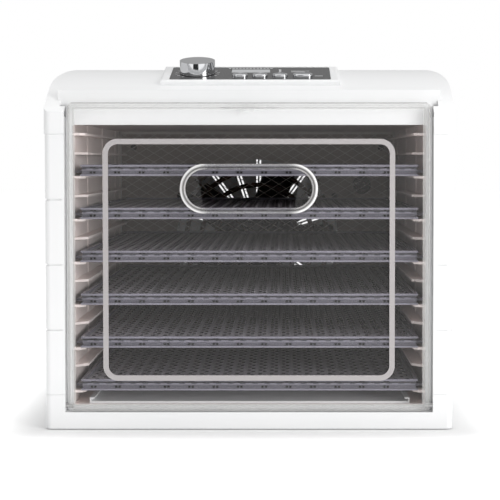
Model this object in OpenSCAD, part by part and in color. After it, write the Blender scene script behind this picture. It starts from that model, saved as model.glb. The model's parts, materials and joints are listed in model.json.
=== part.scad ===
// Front-loading food dehydrator with six sliding trays, a drop-down clear door and a rear fan heater.
// Millimetres. X runs to the right, Y to the back and Z up; the origin is on the table, under the middle.

/* [Housing] */
// Width across the top cover
body_w = 345; // [320:1:420]
// Depth from the door's grip ring to the rear cover
body_d = 450; // [400:1:560]
// Height from the table to the top of the knob
body_h = 319.6; // [280:0.2:400]
// Wall of the white outer mouldings
wall = 2.5; // [2:0.1:3]
// Radius of the housing's upright edges
edge_r = 6; // [4.5:0.5:10]
// Radius along the sides of the top cover
shoulder_r = 18; // [6:0.5:24]
// Height of the base moulding's upper seam
base_h = 29.6; // [28:0.2:36]
// How far the feet lift the base off the table
foot_h = 1; // [1:0.5:6]

/* [Top cover] */
// Depth over which the top cover curves down to the front
brow_d = 120; // [90:1:140]
// Height that the curve falls over that depth
brow_drop = 42.4; // [30:0.2:48]
// Width of the raised control island
island_w = 156; // [150:1:190]
// Length of the island along its slope
island_l = 60; // [58:1:70]
// Slope of the control panel
panel_tilt = 16; // [8:1:22]
// Width of the dark fascia
fascia_w = 140; // [136:1:146]
// Length of the dark fascia along its slope
fascia_l = 50; // [48:1:54]

/* [Controls] */
// Knob diameter
knob_d = 31; // [26:0.5:36]
// Knob height
knob_h = 11; // [9:0.5:18]
// Travel of a push button
button_travel = 0.8; // [0.4:0.1:1.2]

/* [Door] */
// Thickness of the clear door pane
pane_t = 2.5; // [2:0.1:3.5]
// Depth of the door's rim
door_rim_d = 8; // [7:0.5:10]
// Length of the finger hole
grip_w = 106; // [90:1:130]
// Height of the finger hole
grip_h = 32; // [28:1:46]
// Width of the bead around the finger hole
bead = 5; // [4:0.5:7]
// How far the bead stands out from the pane
grip_proud = 3; // [2:0.5:5]
// Radius of the hinge pins
pin_r = 2; // [1.5:0.1:2.4]

/* [Chamber] */
// Thickness of the lining
liner_t = 2.5; // [2:0.1:3]
// Height of a tray
tray_h = 9.5; // [8:0.5:14]
// Thickness of a shelf rib
rib_t = 2; // [1.5:0.1:3]
// Wall of a tray's rim
tray_t = 2; // [1.6:0.1:3]
// Width of one diamond of the rear grille
mesh_w = 32; // [28:1:60]
// Height of one diamond of the rear grille
mesh_h = 22; // [20:1:40]
// Width of the grille's strands
strand = 2.4; // [1.6:0.1:4]

/* [Fan and heater] */
// Radius of the fan's blades
fan_r = 86; // [70:1:92]
// Number of blades
blades = 5; // [3:1:7]
// Radius of the motor
motor_r = 30; // [25:1:34]
// Number of pairs of radial slots in the rear cover
vent_count = 20; // [16:1:28]

/* [Hidden] */
$fn = 64;

trays = 6;
gap = 0.3;             // clearance between pieces that move past or drop into each other
running = 0.06;        // radial clearance of a shaft in its bore
overrun = 1;           // how far a cut runs past the surface it leaves
seam = 0.2;            // parting line between the white mouldings
panel_inset = 0.7;     // how far the side panels and base lie inside the top cover's outline

// Main planes across the width
hw = body_w / 2;
jamb_x = hw - 17.5;    // inner faces of the upright jambs on both sides of the door
recess_x = hw - 13;    // ends of the recess above the door
cavity_x = hw - 21.5;   // inner faces of the lining
open_x = cavity_x - 1.5;
wing_x = open_x - 1;   // edges of a tray's side wings
tray_x = wing_x - 5;   // sides of a tray's body
rib_x = tray_x - 3.5;  // inner edges of the shelf ribs

// Main planes along the depth
y_front = -body_d / 2 + grip_proud;
y_back = body_d / 2;
bulge_d = 35;          // how far the fan cover stands out at the rear
y_shell = y_back - bulge_d;
plenum_d = 80;         // room for the grille, heater and fan behind the chamber
y_grille = y_shell - plenum_d;
frame_t = 3;
y_frame = y_front + door_rim_d + 2.5;
y_liner = y_frame + frame_t;

// Control panel: its frame sits at the middle of the fascia's face
knob_seat = 0.5;
panel_d = 66;          // middle of the fascia behind the front
panel_drop = 6;        // middle of the fascia below the crest of the cover
crest_z = body_h + panel_drop - (knob_seat + knob_h) * cos(panel_tilt) - knob_d / 2 * sin(panel_tilt);
brow_r = (brow_d * brow_d + brow_drop * brow_drop) / (2 * brow_drop);

// Main planes up the height
open_z = crest_z - 53;
sill_z = 19;
seam_z = open_z - 8;
bar_z = 14.9;          // top of the base's front bar, under the door
door_z0 = 16.1;
door_z1 = crest_z - 34.5;
door_x = jamb_x - 3;
hinge_z = door_z0 + 4.1;
hinge_y = y_front + 5;
recess_z = crest_z - 37.5;
recess_h = 8.2;         // height of the recess above the door
low_rib_z = 31;
top_rib_z = open_z - 6.8;
pitch = (top_rib_z - low_rib_z) / trays;
fan_z = (open_z + sill_z) / 2;

// Trays
tray_y0 = y_liner + 1;
tray_y1 = y_grille - 6;
ring_d = 1.5;           // how far the grip ring stands out behind the pane
tray_travel = tray_y0 - y_front - pane_t - ring_d - 1.5;

// Screws
screw_r = 1.5;
screw_hole_r = 1.75;
head_r = 3.4;
head_h = 2;

// A rectangle with four round corners
module rounded(x0, y0, x1, y1, r) {
    translate([x0 + r, y0]) square([x1 - x0 - 2 * r, y1 - y0]);
    translate([x0, y0 + r]) square([x1 - x0, y1 - y0 - 2 * r]);
    for (x = [x0 + r, x1 - r], y = [y0 + r, y1 - r]) translate([x, y]) circle(r);
}

// A block between two corners
module block(a, b) {
    translate(a) cube(b - a);
}

// Turns a drawing in X and Z into a solid from y0 to y1
module along_y(y0, y1) {
    translate([0, y1, 0]) rotate([90, 0, 0]) linear_extrude(y1 - y0) children();
}

// Turns a drawing in Y and Z into a solid from x0 to x1
module along_x(x0, x1) {
    translate([x0, 0, 0]) rotate([90, 0, 90]) linear_extrude(x1 - x0) children();
}

// The housing's outline seen from above, set in by a margin
module plan(inset) {
    rounded(-hw + inset, y_front + inset, hw - inset, y_shell - inset, max(edge_r - inset, 1));
}

// The top cover's outline seen from the side, set in by a margin
module brow(inset) {
    difference() {
        translate([y_front - overrun, -overrun]) square([y_shell - y_front + 2 * overrun, crest_z - inset + overrun]);
        difference() {
            translate([y_front - 2 * overrun, crest_z - brow_drop - inset - 10])
                square([brow_d + 2 * overrun, brow_drop + inset + 10 + overrun]);
            translate([y_front + brow_d, crest_z - brow_r]) circle(brow_r - inset, $fn = 180);
        }
    }
}

// The housing as one solid, set in by a margin
module shell_block(inset) {
    intersection() {
        linear_extrude(crest_z) plan(inset);
        along_x(-hw, hw) brow(inset);
        along_y(y_front - overrun, y_shell + overrun)
            rounded(-hw + inset, -shoulder_r, hw - inset, crest_z - inset, shoulder_r - inset);
    }
}

// Moves to the control panel's frame: X across, Y up the slope, Z out of the face
module on_panel() {
    translate([0, y_front + panel_d, crest_z - panel_drop]) rotate([panel_tilt, 0, 0]) children();
}

// A screw that points down, with its head's underside at zero
module screw(length) {
    cylinder(h = head_h, r = head_r, $fn = 32);
    translate([0, 0, -length]) cylinder(h = length + 0.01, r = screw_r, $fn = 32);
}

// ---- Outer mouldings ----

groove_h = 1.6;
groove_deep = 1.2;
bands = 4;
band_h = (seam_z - base_h) / bands;

// One side panel with its jamb beside the door; side is -1 for left and 1 for right
module side_panel(side) {
    color("white") difference() {
        intersection() {
            translate([0, 0, base_h + seam]) linear_extrude(seam_z - base_h - 2 * seam) difference() {
                plan(panel_inset);
                difference() {
                    plan(panel_inset + wall);
                    translate([side * (jamb_x + wall / 2), y_frame / 2 + y_front / 2])
                        square([wall, y_frame - y_front], center = true);
                }
            }
            block([side > 0 ? jamb_x : -hw, y_front - overrun, 0],
                [side > 0 ? hw : -jamb_x, y_shell + overrun, crest_z]);
        }
        for (i = [1 : bands - 1]) translate([0, 0, base_h + i * band_h - groove_h / 2])
            linear_extrude(groove_h) difference() {
                plan(-overrun);
                plan(panel_inset + groove_deep);
                translate([-jamb_x - wall, y_front - 2 * overrun]) square([2 * (jamb_x + wall), 4 * overrun]);
            }
        rear_screw_holes();
    }
}

// Bottom moulding: floor, low walls, front bar and the corners that carry the door's pins
module base_pan() {
    color("white") difference() {
        translate([0, 0, foot_h]) linear_extrude(base_h - foot_h) plan(panel_inset);
        translate([0, 0, foot_h + wall]) linear_extrude(base_h) difference() {
            plan(panel_inset + wall);
            for (side = [-1, 1]) translate([side * (jamb_x + wall), y_front + 12]) square([2 * wall, 24], center = true);
            translate([0, y_front + 12]) square([2 * jamb_x + wall, 24], center = true);
        }
        block([-jamb_x, y_front - overrun, bar_z], [jamb_x, y_liner + 12, base_h + overrun]);
        block([-jamb_x + 2, y_front + wall + 2, foot_h + wall], [jamb_x - 2, y_front + 22, bar_z - wall]);
        block([-jamb_x - overrun, y_shell - wall - overrun, sill_z - liner_t], [jamb_x + overrun, y_shell + overrun, base_h + overrun]);
        for (side = [-1, 1]) translate([side * (jamb_x + 5), hinge_y, hinge_z])
            rotate([0, 90, 0]) cylinder(h = 16, r = pin_r + 0.02, center = true);
        for (p = feet_at()) translate([p[0], p[1], 0]) cylinder(h = 20, r = foot_stem_r + gap);
        for (p = base_screws_at()) translate([p[0], p[1], 0]) {
            cylinder(h = 20, r = screw_hole_r);
            cylinder(h = foot_h + 1.4, r = head_r + gap);
        }
        rear_screw_holes();
    }
}

// Top moulding: curved brow, control island, and the recess above the door
module top_cover() {
    color("white") difference() {
        union() {
            difference() {
                intersection() {
                    shell_block(0);
                    block([-hw, y_front, seam_z], [hw, y_shell, crest_z]);
                }
                shell_block(wall);
            }
            intersection() {
                on_panel() island(0);
                block([-hw, y_front, seam_z], [hw, y_shell, crest_z + 20]);
            }
            for (side = [-1, 1]) block([side > 0 ? jamb_x : -jamb_x - wall, y_front + 1, seam_z],
                [side > 0 ? jamb_x + wall : -jamb_x, y_frame, crest_z - brow_drop - 4]);
            block([-recess_x - wall, y_frame + frame_t + gap, door_z1 - 12], [recess_x + wall, y_frame + frame_t + gap + wall, recess_z + 14]);
        }
        on_panel() island(wall);
        block([-jamb_x, y_front - overrun, seam_z - overrun], [jamb_x, y_frame + frame_t + gap, door_z1 + gap + 0.5]);
        block([-recess_x, y_front - overrun, recess_z], [recess_x, y_frame + frame_t + gap, recess_z + recess_h]);
        on_panel() {
            translate([0, 0, -fascia_t]) linear_extrude(10)
                rounded(-fascia_w / 2 - gap, -fascia_l / 2 - gap, fascia_w / 2 + gap, fascia_l / 2 + gap, 2);
            panel_cutouts(0.4, 30);
            for (p = board_screws_at()) translate([p[0], p[1], board_w - overrun]) cylinder(h = 8, r = screw_r + 0.05);
        }
        rear_screw_holes();
    }
}

// Raised block under the fascia, set in by a margin
island_r = 2.2;
module island(inset) {
    top = inset > 0 ? fascia_t + inset : 0;
    deep = 26 + 3 * inset;
    difference() {
        intersection() {
            along_y(-island_l / 2 + inset, island_l / 2 - inset)
                rounded(-island_w / 2 + inset, -deep, island_w / 2 - inset, -top, island_r);
            along_x(-island_w, island_w)
                rounded(-island_l / 2 + inset, -deep - 20, island_l / 2 - inset, -top, island_r);
        }
        if (inset > 0) for (p = board_screws_at()) translate([p[0], p[1], board_w]) cylinder(h = 12, r = 3.4, $fn = 32);
    }
}

// The rear screws' places in X and Z
function rear_screws_at() = [for (side = [-1, 1], z = [sill_z - 9.5, fan_z, crest_z - 24]) [side * (hw - 11), z]];

module rear_screw_holes() {
    for (p = rear_screws_at()) translate([p[0], y_shell - 8, p[1]])
        rotate([-90, 0, 0]) cylinder(h = 20, r = screw_hole_r, $fn = 32);
}

// Rear panel with a fan cover that stands out and carries the vents
rear_r = 9;             // corners of the rear cover
bulge_x = hw - 55;
bulge_z0 = fan_z - 108;
bulge_z1 = fan_z + 108;
gland_at = [bulge_x + 20, bulge_z0 + 30];
gland_r = 7;
module rear_cover() {
    color("white") difference() {
        union() {
            along_y(y_shell + seam, y_shell + wall) rounded(-hw + 5, foot_h + 3.5, hw - 5, crest_z - 7, rear_r);
            along_y(y_shell + seam, y_back) rounded(-bulge_x, bulge_z0, bulge_x, bulge_z1, 18);
        }
        along_y(y_shell - overrun, y_back - wall) rounded(-bulge_x + wall, bulge_z0 + wall, bulge_x - wall, bulge_z1 - wall, 18 - wall);
        translate([0, 0, fan_z]) for (i = [0 : vent_count - 1]) rotate([0, i * 360 / vent_count, 0])
            for (x = [-2.8, 1]) block([x, y_back - 3 * wall, i % 2 == 0 ? 36 : 46], [x + 1.8, y_back + overrun, i % 2 == 0 ? 92 : 84]);
        for (side = [-1, 1], i = [-4 : 4]) translate([side * bulge_x, y_shell + bulge_d / 2 + 1, fan_z + i * 14])
            cube([30, 20, 4], center = true);
        translate([gland_at[0], y_shell - overrun, gland_at[1]]) rotate([-90, 0, 0]) cylinder(h = 8, r = gland_r);
        rear_screw_holes();
    }
}

// Bush that the mains lead passes through
cord_r = 3.6;
module cord_gland() {
    color("dimgray") translate([gland_at[0], y_shell, gland_at[1]]) rotate([-90, 0, 0]) difference() {
        union() {
            translate([0, 0, -4]) cylinder(h = 12, r = gland_r - 0.05);
            translate([0, 0, wall + 0.05]) cylinder(h = 3, r = gland_r + 3);
            translate([0, 0, -4]) cylinder(h = 3.9, r = gland_r + 1.5);
        }
        translate([0, 0, -6]) cylinder(h = 20, r = cord_r);
    }
}

// Rubber feet
foot_r = 9;
foot_stem_r = 4;
function feet_at() = [for (y = [y_front + 34, y_shell - 30], side = [-1, 1]) [side * (hw - 30), y]];
module foot(i) {
    color("dimgray") translate([feet_at()[i][0], feet_at()[i][1], 0]) {
        cylinder(h = foot_h, r = foot_r);
        translate([0, 0, foot_h - 0.5]) cylinder(h = wall + 2, r = foot_stem_r);
        translate([0, 0, foot_h + wall]) cylinder(h = 1.5, r = foot_stem_r + 1.2);
    }
}

// ---- Chamber ----

// Plate around the chamber's mouth, behind the door
module front_frame() {
    color("white") difference() {
        along_y(y_frame, y_frame + frame_t) difference() {
            rounded(-jamb_x + gap, bar_z + gap, jamb_x - gap, door_z1 - 1, 1.5);
            rounded(-open_x, sill_z, open_x, open_z, 2);
        }
        for (side = [-1, 1]) translate([side * (door_x - 3), y_frame - overrun, hinge_z])
            cube([12, 2 * overrun + 1, 14], center = true);
    }
}

// Depths along the side walls where the lining stands a little thicker
pilasters = [[0, 30], [92, 128], [190, 226], [290, 320]];
pilaster_t = 0.9;

// One side of the lining with its shelf ribs
module liner_side(side) {
    color("linen") mirror([side > 0 ? 1 : 0, 0, 0]) {
        block([-cavity_x - liner_t, y_liner + gap, sill_z - liner_t], [-cavity_x, y_grille - gap, open_z + 1.5]);
        for (p = pilasters) block([-cavity_x - 0.1, y_liner + gap + p[0], sill_z + gap],
            [-cavity_x + pilaster_t, min(y_liner + gap + p[1], y_grille - gap), open_z + 1.5]);
        for (i = [0 : trays]) shelf_rib(low_rib_z + i * pitch, 3, 4);
        for (i = [0 : trays - 1]) shelf_rib(low_rib_z + (i + 0.5) * pitch + rib_t, 10, 12);
    }
}

// A shelf rib of the left wall, with its top at z and a slanted front corner
module shelf_rib(z, start, slant) {
    y0 = y_liner + start;
    translate([0, 0, z - rib_t]) linear_extrude(rib_t) polygon([[-cavity_x - 0.2, y0], [-rib_x - slant, y0],
        [-rib_x, y0 + slant], [-rib_x, tray_y1 - 4], [-rib_x - 4, tray_y1], [-cavity_x - 0.2, tray_y1]]);
}

// Top of the lining, which also closes the fan's space
module liner_ceiling() {
    z = open_z + 1.5;
    color("linen") difference() {
        block([-cavity_x - liner_t, y_liner + gap, z + gap], [cavity_x + liner_t, y_shell - 6, z + gap + liner_t]);
        for (side = [-1, 1]) translate([side * 110, y_liner + 45, z]) cylinder(h = 10, r = 5);
    }
}

// Bottom of the lining, from the sill to the back
module liner_floor() {
    color("gainsboro") block([-cavity_x, y_liner + gap, sill_z - liner_t], [cavity_x, y_shell - wall - gap, sill_z]);
}

// Diamond grille that keeps fingers and food out of the fan
module rear_grille() {
    x1 = cavity_x - gap;
    z0 = sill_z + gap;
    z1 = open_z + 1.5 - gap;
    columns = floor((2 * x1 - 12) / mesh_w);
    rows = floor((z1 - z0 - 12) / mesh_h);
    a = mesh_w / 2 - strand * 0.6;
    b = mesh_h / 2 - strand * 0.35;
    centres = concat(
        [for (i = [0 : columns - 1], j = [0 : rows - 1]) [(i - (columns - 1) / 2) * mesh_w, (j - (rows - 1) / 2) * mesh_h]],
        [for (i = [0 : columns - 2], j = [0 : rows - 2]) [(i - (columns - 2) / 2) * mesh_w, (j - (rows - 2) / 2) * mesh_h]]);
    frame = [[-x1, z0], [x1, z0], [x1, z1], [-x1, z1]];
    zc = (z0 + z1) / 2;
    diamonds = [for (c = centres) each [[c[0] - a, zc + c[1]], [c[0], zc + c[1] + b], [c[0] + a, zc + c[1]], [c[0], zc + c[1] - b]]];
    color("dimgray") along_y(y_grille, y_grille + 1.2) polygon(points = concat(frame, diamonds),
        paths = concat([[0, 1, 2, 3]], [for (k = [0 : len(centres) - 1]) [for (q = [0 : 3]) 4 + 4 * k + q]]));
}

// A tray's perforated floor, open in long slots between its runners
slot_pitch = 10.2;
slot_w = 5.2;
slot_rows = 4;
module tray_floor() {
    columns = floor((2 * tray_x - 12) / slot_pitch);
    length = (tray_y1 - tray_y0 - 14) / slot_rows;
    slots = [for (i = [0 : columns - 1], j = [0 : slot_rows - 1])
        [(i - (columns - 1) / 2) * slot_pitch, tray_y0 + 7 + (j + 0.5) * length]];
    corners = [for (c = slots) each [[c[0] - slot_w / 2, c[1] - length / 2 + 2], [c[0] + slot_w / 2, c[1] - length / 2 + 2],
        [c[0] + slot_w / 2, c[1] + length / 2 - 2], [c[0] - slot_w / 2, c[1] + length / 2 - 2]]];
    edge = [[-tray_x + 0.5, tray_y0 + 0.5], [tray_x - 0.5, tray_y0 + 0.5], [tray_x - 0.5, tray_y1 - 0.5], [-tray_x + 0.5, tray_y1 - 0.5]];
    linear_extrude(1.6) polygon(points = concat(edge, corners),
        paths = concat([[0, 1, 2, 3]], [for (k = [0 : len(slots) - 1]) [for (q = [0 : 3]) 4 + 4 * k + q]]));
}

// One tray, counted from the top; it rests on the shelf ribs by its rim
module tray(i) {
    z = low_rib_z + (trays - i) * pitch + 0.1;
    color("slategray") translate([0, 0, z]) {
        linear_extrude(tray_h) difference() {
            translate([-tray_x, tray_y0]) square([2 * tray_x, tray_y1 - tray_y0]);
            translate([-tray_x + tray_t, tray_y0 + tray_t]) square([2 * tray_x - 2 * tray_t, tray_y1 - tray_y0 - 2 * tray_t]);
        }
        translate([0, 0, tray_h - 4]) tray_floor();
        for (side = [-1, 1]) translate([side * (wing_x + tray_x - 0.5) / 2, (tray_y0 + tray_y1) / 2 + 2, tray_h / 2 - 1])
            cube([wing_x - tray_x + 0.5, tray_y1 - tray_y0 - 12, 2], center = true);
    }
}

// Shallow pan that lies on the chamber's floor
drip_x = rib_x - 3;
drip_h = 5;
drip_lip = 1.8;          // low lip along the pan's front
module drip_tray() {
    y0 = y_liner + 6;
    y1 = y_grille - 8;
    color("darkgray") translate([0, 0, sill_z + 0.1]) {
        linear_extrude(1) translate([-drip_x, y0]) square([2 * drip_x, y1 - y0]);
        linear_extrude(drip_h) difference() {
            translate([-drip_x, y0]) square([2 * drip_x, y1 - y0]);
            translate([-drip_x + 1, y0 - overrun]) square([2 * drip_x - 2, y1 - y0 - 1 + overrun]);
        }
        linear_extrude(drip_lip) translate([-drip_x, y0]) square([2 * drip_x, 1.5]);
        for (side = [-1, 1]) translate([side * (drip_x - 2), (y0 + y1) / 2, drip_h - 0.5])
            cube([4, y1 - y0, 1], center = true);
    }
}

// ---- Door ----

// Clear door: pane, rim, raised border, finger hole with its bead, and a bore at each lower corner
band_w = 4.5;
band_r = 12.5;
band_x = door_x - 29.5;
band_z0 = door_z0 + 25.1;
band_z1 = door_z1 - 30.5;
grip_z = door_z1 - 72.3;
module door_panel() {
    color([0.8, 0.85, 0.85, 0.4]) difference() {
        union() {
            difference() {
                along_y(y_front, y_front + door_rim_d) rounded(-door_x, door_z0, door_x, door_z1, 4);
                along_y(y_front + pane_t, y_front + door_rim_d + overrun)
                    rounded(-door_x + pane_t, door_z0 + pane_t, door_x - pane_t, door_z1 - pane_t, 1.5);
            }
            along_y(y_front - 0.5, y_front + 0.5) difference() {
                rounded(-band_x, band_z0, band_x, band_z1, band_r);
                rounded(-band_x + band_w, band_z0 + band_w, band_x - band_w, band_z1 - band_w, band_r - band_w);
            }
            for (side = [-1, 1]) translate([side * (door_x - 3), hinge_y, hinge_z]) rotate([0, 90, 0]) cylinder(h = 5, r = 4, center = true);
            block([-4.2, y_front - 0.8, door_z1 - 6.5], [4.2, y_front + 1, door_z1 - 1.5]);
        }
        along_y(y_front - overrun, y_front + pane_t + overrun) grip_outline(bead + 0.05);
        for (side = [-1, 1]) translate([side * (door_x - 3), hinge_y, hinge_z]) rotate([0, 90, 0]) cylinder(h = 12, r = pin_r + running, center = true);
        // The lower front edge is round, so that it clears the bar as the door turns
        difference() {
            block([-hw, y_front - overrun, door_z0 - overrun], [hw, y_front + 4, door_z0 + 4]);
            translate([0, y_front + 4, door_z0 + 4]) rotate([0, 90, 0]) cylinder(h = 2 * hw + 2, r = 4, center = true);
        }
    }
}

// Rounded ring that lines the finger hole: two half rings and two straight runs
module grip_ring() {
    r = grip_h / 2;
    run = grip_w - grip_h;
    color("whitesmoke") translate([0, 0, grip_z]) rotate([90, 0, 0]) {
        for (side = [-1, 1]) translate([side * run / 2, 0, 0]) rotate([0, 0, -side * 90])
            rotate_extrude(angle = 180, $fn = 96) grip_profile(r);
        for (side = [0, 1]) mirror([0, side, 0]) translate([-run / 2, 0, 0]) rotate([90, 0, 90])
            linear_extrude(run) grip_profile(r);
    }
}

// Section of the ring: distance from its middle line, and depth counted towards the front
module grip_profile(r) {
    rounded(r, -(y_front + pane_t + ring_d), r + bead, -(y_front - grip_proud), 2);
}

// Outline of the finger hole, widened by a margin
module grip_outline(margin) {
    r = grip_h / 2 + margin;
    for (side = [-1, 1]) translate([side * (grip_w - grip_h) / 2, grip_z]) circle(r);
    translate([-(grip_w - grip_h) / 2, grip_z - r]) square([grip_w - grip_h, 2 * r]);
}

// Pin that the door turns on, pressed into the base's corner
module hinge_pin(side) {
    color("silver") translate([side * (jamb_x + wall), hinge_y, hinge_z]) rotate([0, -side * 90, 0]) {
        translate([0, 0, -3]) cylinder(h = 12, r = pin_r);
        translate([0, 0, -4]) cylinder(h = 1.01, r = pin_r + 1);
    }
}

// Spring clip on the frame that holds the door's upper edge
module door_catch() {
    z = door_z1 - 6;
    color("whitesmoke") {
        block([-9, y_frame - 1.2, z - 5], [9, y_frame, z + 3]);
        along_x(-4, 4) polygon([[y_frame - 0.8, z + 2], [y_frame - 0.8, z - 1], [y_frame - 3, z - 0.2], [y_frame - 5.2, z + 0.4],
            [y_frame - 5.2, z + 1.2], [y_frame - 3, z + 1.4]]);
    }
}

// ---- Fan and heater ----

shroud_r = fan_r + 4;
y_baffle = y_grille + 30;
shroud_d = 30;
post_r = shroud_r + 9;

// Partition that carries the shroud
function baffle_screws_at() = [for (side = [-1, 1], z = [sill_z + 16, open_z - 16]) [side * (cavity_x - 14), z]];
module fan_baffle() {
    color("dimgray") difference() {
        along_y(y_baffle, y_baffle + 2) difference() {
            translate([-cavity_x + gap, sill_z + gap]) square([2 * (cavity_x - gap), open_z + 1.2 - sill_z - gap]);
            translate([0, fan_z]) circle(shroud_r, $fn = 96);
        }
        for (p = baffle_screws_at()) translate([p[0], y_baffle - overrun, p[1]]) rotate([-90, 0, 0]) cylinder(h = 5, r = screw_hole_r, $fn = 32);
        for (a = arms()) translate([post_r * cos(a), y_baffle - overrun, fan_z + post_r * sin(a)])
            rotate([-90, 0, 0]) cylinder(h = 5, r = screw_hole_r, $fn = 32);
    }
}

// Ring around the fan's blades
module fan_shroud() {
    color("darkslategray") translate([0, y_baffle + 2.1, fan_z]) rotate([-90, 0, 0]) difference() {
        union() {
            cylinder(h = 2, r = shroud_r + 4, $fn = 96);
            cylinder(h = shroud_d, r = shroud_r + 2, $fn = 96);
        }
        translate([0, 0, -overrun]) cylinder(h = shroud_d + 2 * overrun, r = shroud_r, $fn = 96);
    }
}

// Spider that holds the motor behind the fan
function arms() = [30, 150, 270];
y_bracket = y_baffle + 2.1 + shroud_d + 1;
module motor_bracket() {
    color("silver") difference() {
        translate([0, y_bracket, fan_z]) rotate([-90, 0, 0]) {
            cylinder(h = 2, r = motor_r + 4);
            for (a = arms()) rotate([0, 0, -a]) {
                translate([0, -6, 0]) cube([post_r + 6, 12, 2]);
                translate([post_r, 0, -(y_bracket - y_baffle - 2.05)]) cylinder(h = y_bracket - y_baffle - 2, r = 4.5, $fn = 32);
            }
        }
        translate([0, y_bracket - overrun, fan_z]) rotate([-90, 0, 0]) cylinder(h = 5, r = 9);
        for (a = arms()) translate([post_r * cos(a), y_baffle + 1, fan_z + post_r * sin(a)])
            rotate([-90, 0, 0]) cylinder(h = shroud_d + 10, r = screw_r + 0.05, $fn = 32);
    }
}

// Motor: a can with a nose bearing
motor_l = 34;
shaft_r = 3;
y_motor = y_bracket + 2.1;
module motor_housing() {
    color("silver") translate([0, y_motor, fan_z]) rotate([-90, 0, 0]) difference() {
        union() {
            cylinder(h = motor_l, r = motor_r);
            translate([0, 0, -6]) cylinder(h = 7, r = 8);
            translate([0, 0, motor_l - 1]) cylinder(h = 5, r = 8);
        }
        translate([0, 0, -10]) cylinder(h = motor_l + 20, r = shaft_r + running);
    }
}

// Shaft from the motor to the fan
y_rotor = y_baffle + 8;
rotor_d = 20;
module motor_shaft() {
    color("silver") translate([0, y_rotor - 6, fan_z]) rotate([-90, 0, 0]) cylinder(h = y_motor + motor_l + 3 - y_rotor + 6, r = shaft_r);
}

// Fan wheel: hub and pitched blades
module fan_rotor() {
    color("gray") translate([0, y_rotor, fan_z]) rotate([-90, 0, 0]) difference() {
        union() {
            cylinder(h = rotor_d, r = 20);
            intersection() {
                difference() {
                    cylinder(h = rotor_d, r = fan_r, $fn = 96);
                    translate([0, 0, -overrun]) cylinder(h = rotor_d + 2 * overrun, r = 19);
                }
                for (i = [0 : blades - 1]) rotate([0, 0, i * 360 / blades]) translate([fan_r / 2 + 8, 0, rotor_d / 2])
                    rotate([32, 0, 0]) cube([fan_r + 8, 46, 1.6], center = true);
            }
        }
        translate([0, 0, -overrun]) cylinder(h = rotor_d + 2 * overrun, r = shaft_r + 0.02);
    }
}

// Mica cross that carries the heater's coils, in front of the fan
y_heater = y_grille + 12;
coil_radii = [46, 62, 78];
coil_r = 2.6;
module heater_frame() {
    color("burlywood") difference() {
        translate([0, y_heater, fan_z]) rotate([-90, 0, 0]) for (a = [45, 135]) rotate([0, 0, a])
            translate([-shroud_r - 6, -0.6 - 0.4, 0]) cube([2 * shroud_r + 12, 2, 17.9]);
        for (r = coil_radii) translate([0, y_heater + 8, fan_z]) rotate([-90, 0, 0]) rotate_extrude($fn = 96)
            translate([r, 0]) circle(coil_r + 0.2, $fn = 24);
    }
}

module heater_coils() {
    color("rosybrown") for (r = coil_radii) translate([0, y_heater + 8, fan_z]) rotate([-90, 0, 0])
        rotate_extrude($fn = 96) translate([r, 0]) circle(coil_r, $fn = 24);
}

// Bimetal cut-out on the baffle
module thermal_cutout() {
    color("silver") translate([fan_r + 30, y_baffle - 0.1, fan_z + 62]) rotate([90, 0, 0]) {
        cylinder(h = 1.2, r = 10);
        cylinder(h = 8, r = 7);
        for (side = [-1, 1]) translate([side * 4 - 1.5, -0.4, 7.9]) cube([3, 0.8, 6]);
    }
}

// ---- Controls ----

fascia_t = 1.2;
board_w = -15.5;       // the control board's face below the fascia
board_t = 1.6;
knob_u = -47;
display_at = [0, 10];
display_size = [34, 13];
// Each button: across, up the slope, half width, half height
buttons = [[-9, -13, 6.6, 4.4], [8.5, -13, 6.6, 4.4], [26, -13, 6.6, 4.4], [46, -12, 8.6, 4.6]];
function board_screws_at() = [for (u = [-64, 62], v = [-16, 16]) [u, v]];

// An ellipse made of a stadium, as the buttons have
module button_outline(b, margin) {
    for (side = [-1, 1]) translate([b[0] + side * (b[2] - b[3]), b[1]]) circle(b[3] + margin, $fn = 48);
    translate([b[0] - (b[2] - b[3]), b[1] - b[3] - margin]) square([2 * (b[2] - b[3]), 2 * (b[3] + margin)]);
}

// Openings through the fascia and the cover under it
module panel_cutouts(margin, depth) {
    translate([0, 0, -depth / 2]) linear_extrude(depth) {
        for (b = buttons) button_outline(b, margin);
        translate([knob_u, 0]) circle(4.2 + margin, $fn = 48);
        translate([display_at[0] - display_size[0] / 2 - margin, display_at[1] - display_size[1] / 2 - margin])
            square([display_size[0] + 2 * margin, display_size[1] + 2 * margin]);
    }
}

module fascia() {
    color("dimgray") on_panel() difference() {
        translate([0, 0, -fascia_t]) linear_extrude(fascia_t)
            rounded(-fascia_w / 2, -fascia_l / 2, fascia_w / 2, fascia_l / 2, 1.8);
        panel_cutouts(gap, 10);
    }
}

module display_window() {
    color("black") on_panel() translate([display_at[0], display_at[1], -fascia_t / 2])
        cube([display_size[0], display_size[1], fascia_t - 0.2], center = true);
}

module display_module() {
    color("dimgray") on_panel() translate([display_at[0], display_at[1], (board_w - fascia_t) / 2])
        cube([display_size[0] - 2, display_size[1] - 1, -board_w - fascia_t - 0.3], center = true);
}

module control_board() {
    color("darkgreen") on_panel() difference() {
        translate([-69, -22, board_w - board_t]) cube([138, 44, board_t]);
        for (p = board_screws_at()) translate([p[0], p[1], board_w - 5]) cylinder(h = 10, r = screw_hole_r, $fn = 32);
    }
}

// Screws that hold the board, driven from below
module board_screws() {
    color("silver") on_panel() for (p = board_screws_at()) translate([p[0], p[1], board_w - board_t]) mirror([0, 0, 1]) screw(6);
}

// Four push switches on the board
module key_switches() {
    color("silver") on_panel() for (b = buttons) translate([b[0], b[1], board_w]) {
        translate([-3, -3, 0.05]) cube([6, 6, 3.5]);
        cylinder(h = 5, r = 1.7, $fn = 32);
    }
}

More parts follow.
